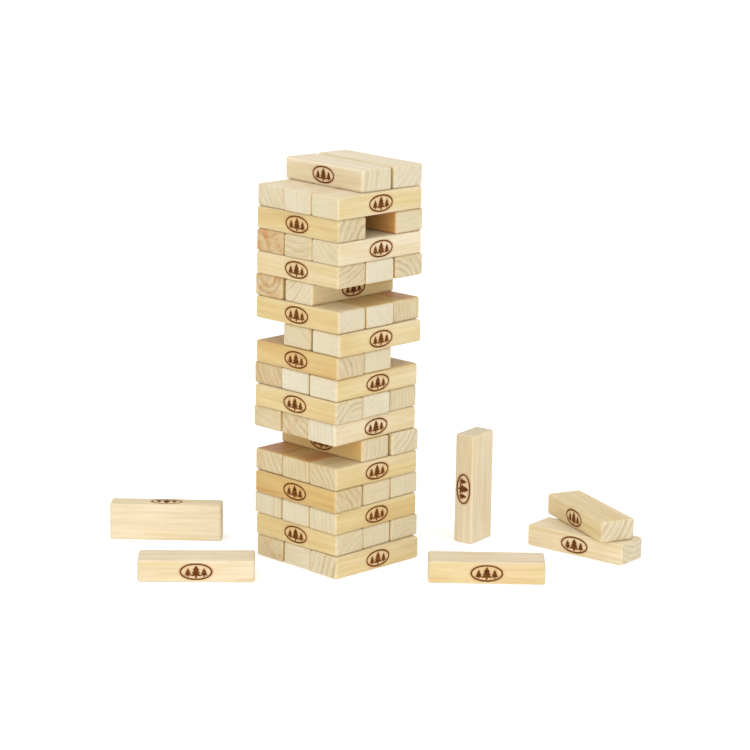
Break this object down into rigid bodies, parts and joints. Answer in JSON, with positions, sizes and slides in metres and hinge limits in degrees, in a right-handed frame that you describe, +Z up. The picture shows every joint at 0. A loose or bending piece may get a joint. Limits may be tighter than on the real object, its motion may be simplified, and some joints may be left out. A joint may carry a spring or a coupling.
{
  "type": "giant tumbling tower",
  "caption": "Tower of plain wooden blocks stacked crosswise, three to a layer, with drawn-out gaps and loose blocks lying beside it.",
  "frame": {"origin": "centre of the tower base, on the ground", "axes": "+Z up; odd layers run along Y and even layers run along X; the corner of the tower that faces the viewer is at +X, -Y"},
  "size_m": [0.7181, 0.7509, 0.6659],
  "materials": {
    "cream_wood": "sanded, unvarnished",
    "honey_wood": "sanded, unvarnished",
    "pale_wood": "sanded, unvarnished"
  },
  "bodies": {
    "layer01_left_block": {"layer01_left_block": "cream_wood"},
    "layer01_middle_block": {"layer01_middle_block": "cream_wood"},
    "layer01_right_block": {"layer01_right_block": "cream_wood"},
    "layer02_front_block": {"layer02_front_block": "honey_wood"},
    "layer02_middle_block": {"layer02_middle_block": "honey_wood"},
    "layer02_back_block": {"layer02_back_block": "honey_wood"},
    "layer03_left_block": {"layer03_left_block": "cream_wood"},
    "layer03_middle_block": {"layer03_middle_block": "cream_wood"},
    "layer03_right_block": {"layer03_right_block": "cream_wood"},
    "layer04_front_block": {"layer04_front_block": "honey_wood"},
    "layer04_middle_block": {"layer04_middle_block": "honey_wood"},
    "layer04_back_block": {"layer04_back_block": "honey_wood"},
    "layer05_left_block": {"layer05_left_block": "cream_wood"},
    "layer05_middle_block": {"layer05_middle_block": "cream_wood"},
    "layer05_right_block": {"layer05_right_block": "cream_wood"},
    "layer06_middle_block": {"layer06_middle_block": "cream_wood"},
    "layer06_back_block": {"layer06_back_block": "cream_wood"},
    "layer07_left_block": {"layer07_left_block": "cream_wood"},
    "layer07_middle_block": {"layer07_middle_block": "cream_wood"},
    "layer07_right_block": {"layer07_right_block": "cream_wood"},
    "layer08_front_block": {"layer08_front_block": "pale_wood"},
    "layer08_middle_block": {"layer08_middle_block": "pale_wood"},
    "layer08_back_block": {"layer08_back_block": "pale_wood"},
    "layer09_left_block": {"layer09_left_block": "cream_wood"},
    "layer09_middle_block": {"layer09_middle_block": "cream_wood"},
    "layer09_right_block": {"layer09_right_block": "cream_wood"},
    "layer10_front_block": {"layer10_front_block": "honey_wood"},
    "layer10_middle_block": {"layer10_middle_block": "honey_wood"},
    "layer11_middle_block": {"layer11_middle_block": "pale_wood"},
    "layer11_right_block": {"layer11_right_block": "pale_wood"},
    "layer12_front_block": {"layer12_front_block": "cream_wood"},
    "layer12_middle_block": {"layer12_middle_block": "cream_wood"},
    "layer12_back_block": {"layer12_back_block": "cream_wood"},
    "layer13_left_block": {"layer13_left_block": "cream_wood"},
    "layer13_middle_block": {"layer13_middle_block": "cream_wood"},
    "layer14_front_block": {"layer14_front_block": "cream_wood"},
    "layer14_middle_block": {"layer14_middle_block": "cream_wood"},
    "layer14_back_block": {"layer14_back_block": "cream_wood"},
    "layer15_left_block": {"layer15_left_block": "pale_wood"},
    "layer15_middle_block": {"layer15_middle_block": "pale_wood"},
    "layer15_right_block": {"layer15_right_block": "pale_wood"},
    "layer16_front_block": {"layer16_front_block": "cream_wood"},
    "layer16_back_block": {"layer16_back_block": "cream_wood"},
    "layer17_left_block": {"layer17_left_block": "cream_wood"},
    "layer17_middle_block": {"layer17_middle_block": "cream_wood"},
    "layer17_right_block": {"layer17_right_block": "cream_wood"},
    "layer18_middle_block": {"layer18_middle_block": "cream_wood"},
    "layer18_back_block": {"layer18_back_block": "cream_wood"},
    "loose_edge_block": {"loose_edge_block": "cream_wood"},
    "loose_front_left_block": {"loose_front_left_block": "cream_wood"},
    "loose_front_right_block": {"loose_front_right_block": "cream_wood"},
    "loose_upright_block": {"loose_upright_block": "cream_wood"},
    "loose_stack_lower_block": {"loose_stack_lower_block": "cream_wood"},
    "loose_stack_upper_block": {"loose_stack_upper_block": "honey_wood"}
  },
  "joints": [
    {"name": "layer01_left_block_slide", "type": "slide", "parent": "layer01_middle_block", "child": "layer01_left_block", "axis": [0.0175, 0.9998, 0], "range_m": [-0.06, 0.2]},
    {"name": "layer01_right_block_slide", "type": "slide", "parent": "layer01_middle_block", "child": "layer01_right_block", "axis": [-0.0175, -0.9998, 0], "range_m": [-0.105, 0.2]},
    {"name": "layer02_front_block_slide", "type": "slide", "parent": "layer01_middle_block", "child": "layer02_front_block", "axis": [1, 0.0052, 0], "range_m": [-0.085, 0.2]},
    {"name": "layer02_middle_block_slide", "type": "slide", "parent": "layer01_middle_block", "child": "layer02_middle_block", "axis": [-1, -0.0052, 0], "range_m": [-0.075, 0.2]},
    {"name": "layer02_back_block_slide", "type": "slide", "parent": "layer01_middle_block", "child": "layer02_back_block", "axis": [-1, -0.0052, 0], "range_m": [-0.065, 0.2]},
    {"name": "layer03_left_block_slide", "type": "slide", "parent": "layer01_middle_block", "child": "layer03_left_block", "axis": [-0.0052, 1, 0], "range_m": [-0.2, 0.2]},
    {"name": "layer03_middle_block_slide", "type": "slide", "parent": "layer01_middle_block", "child": "layer03_middle_block", "axis": [-0.0052, 1, 0], "range_m": [-0.2, 0.2]},
    {"name": "layer03_right_block_slide", "type": "slide", "parent": "layer01_middle_block", "child": "layer03_right_block", "axis": [0.0052, -1, 0], "range_m": [-0.105, 0.2]},
    {"name": "layer04_front_block_slide", "type": "slide", "parent": "layer01_middle_block", "child": "layer04_front_block", "axis": [1, 0, 0], "range_m": [-0.2, 0.2]},
    {"name": "layer04_middle_block_slide", "type": "slide", "parent": "layer01_middle_block", "child": "layer04_middle_block", "axis": [-1, 0, 0], "range_m": [-0.2, 0.2]},
    {"name": "layer04_back_block_slide", "type": "slide", "parent": "layer01_middle_block", "child": "layer04_back_block", "axis": [-1, 0, 0], "range_m": [-0.2, 0.2]},
    {"name": "layer05_left_block_slide", "type": "slide", "parent": "layer01_middle_block", "child": "layer05_left_block", "axis": [0, 1, 0], "range_m": [-0.2, 0.2]},
    {"name": "layer05_middle_block_slide", "type": "slide", "parent": "layer01_middle_block", "child": "layer05_middle_block", "axis": [0, 1, 0], "range_m": [-0.2, 0.2]},
    {"name": "layer05_right_block_slide", "type": "slide", "parent": "layer01_middle_block", "child": "layer05_right_block", "axis": [0, -1, 0], "range_m": [-0.105, 0.2]},
    {"name": "layer06_middle_block_slide", "type": "slide", "parent": "layer01_middle_block", "child": "layer06_middle_block", "axis": [-1, -0.0035, 0], "range_m": [-0.2, 0.2]},
    {"name": "layer06_back_block_slide", "type": "slide", "parent": "layer01_middle_block", "child": "layer06_back_block", "axis": [-1, -0.0035, 0], "range_m": [-0.2, 0.2]},
    {"name": "layer07_left_block_slide", "type": "slide", "parent": "layer01_middle_block", "child": "layer07_left_block", "axis": [-0.007, 1, 0], "range_m": [-0.2, 0.2]},
    {"name": "layer07_middle_block_slide", "type": "slide", "parent": "layer01_middle_block", "child": "layer07_middle_block", "axis": [-0.007, 1, 0], "range_m": [-0.2, 0.2]},
    {"name": "layer07_right_block_slide", "type": "slide", "parent": "layer01_middle_block", "child": "layer07_right_block", "axis": [0.007, -1, 0], "range_m": [-0.2, 0.2]},
    {"name": "layer08_front_block_slide", "type": "slide", "parent": "layer01_middle_block", "child": "layer08_front_block", "axis": [1, 0.007, 0], "range_m": [-0.2, 0.2]},
    {"name": "layer08_middle_block_slide", "type": "slide", "parent": "layer01_middle_block", "child": "layer08_middle_block", "axis": [-1, -0.007, 0], "range_m": [-0.2, 0.2]},
    {"name": "layer08_back_block_slide", "type": "slide", "parent": "layer01_middle_block", "child": "layer08_back_block", "axis": [-1, -0.007, 0], "range_m": [-0.2, 0.2]},
    {"name": "layer09_left_block_slide", "type": "slide", "parent": "layer01_middle_block", "child": "layer09_left_block", "axis": [-0.0105, 0.9999, 0], "range_m": [-0.2, 0.2]},
    {"name": "layer09_middle_block_slide", "type": "slide", "parent": "layer01_middle_block", "child": "layer09_middle_block", "axis": [-0.0105, 0.9999, 0], "range_m": [-0.2, 0.2]},
    {"name": "layer09_right_block_slide", "type": "slide", "parent": "layer01_middle_block", "child": "layer09_right_block", "axis": [0.0105, -0.9999, 0], "range_m": [-0.2, 0.2]},
    {"name": "layer10_front_block_slide", "type": "slide", "parent": "layer01_middle_block", "child": "layer10_front_block", "axis": [1, 0.0035, 0], "range_m": [-0.2, 0.2]},
    {"name": "layer10_middle_block_slide", "type": "slide", "parent": "layer01_middle_block", "child": "layer10_middle_block", "axis": [-1, -0.0035, 0], "range_m": [-0.2, 0.2]},
    {"name": "layer11_middle_block_slide", "type": "slide", "parent": "layer01_middle_block", "child": "layer11_middle_block", "axis": [-0.0035, 1, 0], "range_m": [-0.2, 0.2]},
    {"name": "layer11_right_block_slide", "type": "slide", "parent": "layer01_middle_block", "child": "layer11_right_block", "axis": [0.0035, -1, 0], "range_m": [-0.2, 0.2]},
    {"name": "layer12_front_block_slide", "type": "slide", "parent": "layer01_middle_block", "child": "layer12_front_block", "axis": [0.9998, 0.0175, 0], "range_m": [-0.2, 0.2]},
    {"name": "layer12_middle_block_slide", "type": "slide", "parent": "layer01_middle_block", "child": "layer12_middle_block", "axis": [-0.9998, -0.0175, 0], "range_m": [-0.2, 0.2]},
    {"name": "layer12_back_block_slide", "type": "slide", "parent": "layer01_middle_block", "child": "layer12_back_block", "axis": [-0.9998, -0.0175, 0], "range_m": [-0.2, 0.2]},
    {"name": "layer13_left_block_slide", "type": "slide", "parent": "layer01_middle_block", "child": "layer13_left_block", "axis": [-0.0035, 1, 0], "range_m": [-0.2, 0.2]},
    {"name": "layer13_middle_block_slide", "type": "slide", "parent": "layer01_middle_block", "child": "layer13_middle_block", "axis": [-0.0035, 1, 0], "range_m": [-0.2, 0.2]},
    {"name": "layer14_front_block_slide", "type": "slide", "parent": "layer01_middle_block", "child": "layer14_front_block", "axis": [1, 0.0035, 0], "range_m": [-0.2, 0.2]},
    {"name": "layer14_middle_block_slide", "type": "slide", "parent": "layer01_middle_block", "child": "layer14_middle_block", "axis": [-1, -0.0035, 0], "range_m": [-0.2, 0.2]},
    {"name": "layer14_back_block_slide", "type": "slide", "parent": "layer01_middle_block", "child": "layer14_back_block", "axis": [-1, -0.0035, 0], "range_m": [-0.2, 0.2]},
    {"name": "layer15_left_block_slide", "type": "slide", "parent": "layer01_middle_block", "child": "layer15_left_block", "axis": [0, 1, 0], "range_m": [-0.2, 0.2]},
    {"name": "layer15_middle_block_slide", "type": "slide", "parent": "layer01_middle_block", "child": "layer15_middle_block", "axis": [0, 1, 0], "range_m": [-0.2, 0.2]},
    {"name": "layer15_right_block_slide", "type": "slide", "parent": "layer01_middle_block", "child": "layer15_right_block", "axis": [0, -1, 0], "range_m": [-0.2, 0.2]},
    {"name": "layer16_front_block_slide", "type": "slide", "parent": "layer01_middle_block", "child": "layer16_front_block", "axis": [1, -0.0052, 0], "range_m": [-0.2, 0.2]},
    {"name": "layer16_back_block_slide", "type": "slide", "parent": "layer01_middle_block", "child": "layer16_back_block", "axis": [-1, 0.0052, 0], "range_m": [-0.2, 0.2]},
    {"name": "layer17_left_block_slide", "type": "slide", "parent": "layer01_middle_block", "child": "layer17_left_block", "axis": [0.014, 0.9999, 0], "range_m": [-0.2, 0.2]},
    {"name": "layer17_middle_block_slide", "type": "slide", "parent": "layer01_middle_block", "child": "layer17_middle_block", "axis": [0.014, 0.9999, 0], "range_m": [-0.2, 0.2]},
    {"name": "layer17_right_block_slide", "type": "slide", "parent": "layer01_middle_block", "child": "layer17_right_block", "axis": [-0.014, -0.9999, 0], "range_m": [-0.2, 0.2]},
    {"name": "layer18_middle_block_lift", "type": "slide", "parent": "layer01_middle_block", "child": "layer18_middle_block", "axis": [0, 0, 1], "range_m": [0, 0.15]},
    {"name": "layer18_back_block_lift", "type": "slide", "parent": "layer01_middle_block", "child": "layer18_back_block", "axis": [0, 0, 1], "range_m": [0, 0.15]},
    {"name": "loose_edge_block_lift", "type": "slide", "parent": "layer01_middle_block", "child": "loose_edge_block", "axis": [0, 0, 1], "range_m": [0, 0.2]},
    {"name": "loose_front_left_block_lift", "type": "slide", "parent": "layer01_middle_block", "child": "loose_front_left_block", "axis": [0, 0, 1], "range_m": [0, 0.2]},
    {"name": "loose_front_right_block_lift", "type": "slide", "parent": "layer01_middle_block", "child": "loose_front_right_block", "axis": [0, 0, 1], "range_m": [0, 0.2]},
    {"name": "loose_upright_block_lift", "type": "slide", "parent": "layer01_middle_block", "child": "loose_upright_block", "axis": [0, 0, 1], "range_m": [0, 0.2]},
    {"name": "loose_stack_lower_block_lift", "type": "slide", "parent": "layer01_middle_block", "child": "loose_stack_lower_block", "axis": [0, 0, 1], "range_m": [0, 0.2]},
    {"name": "loose_stack_upper_block_lift", "type": "slide", "parent": "loose_stack_lower_block", "child": "loose_stack_upper_block", "axis": [0, 0, 1], "range_m": [0, 0.2]}
  ]
}
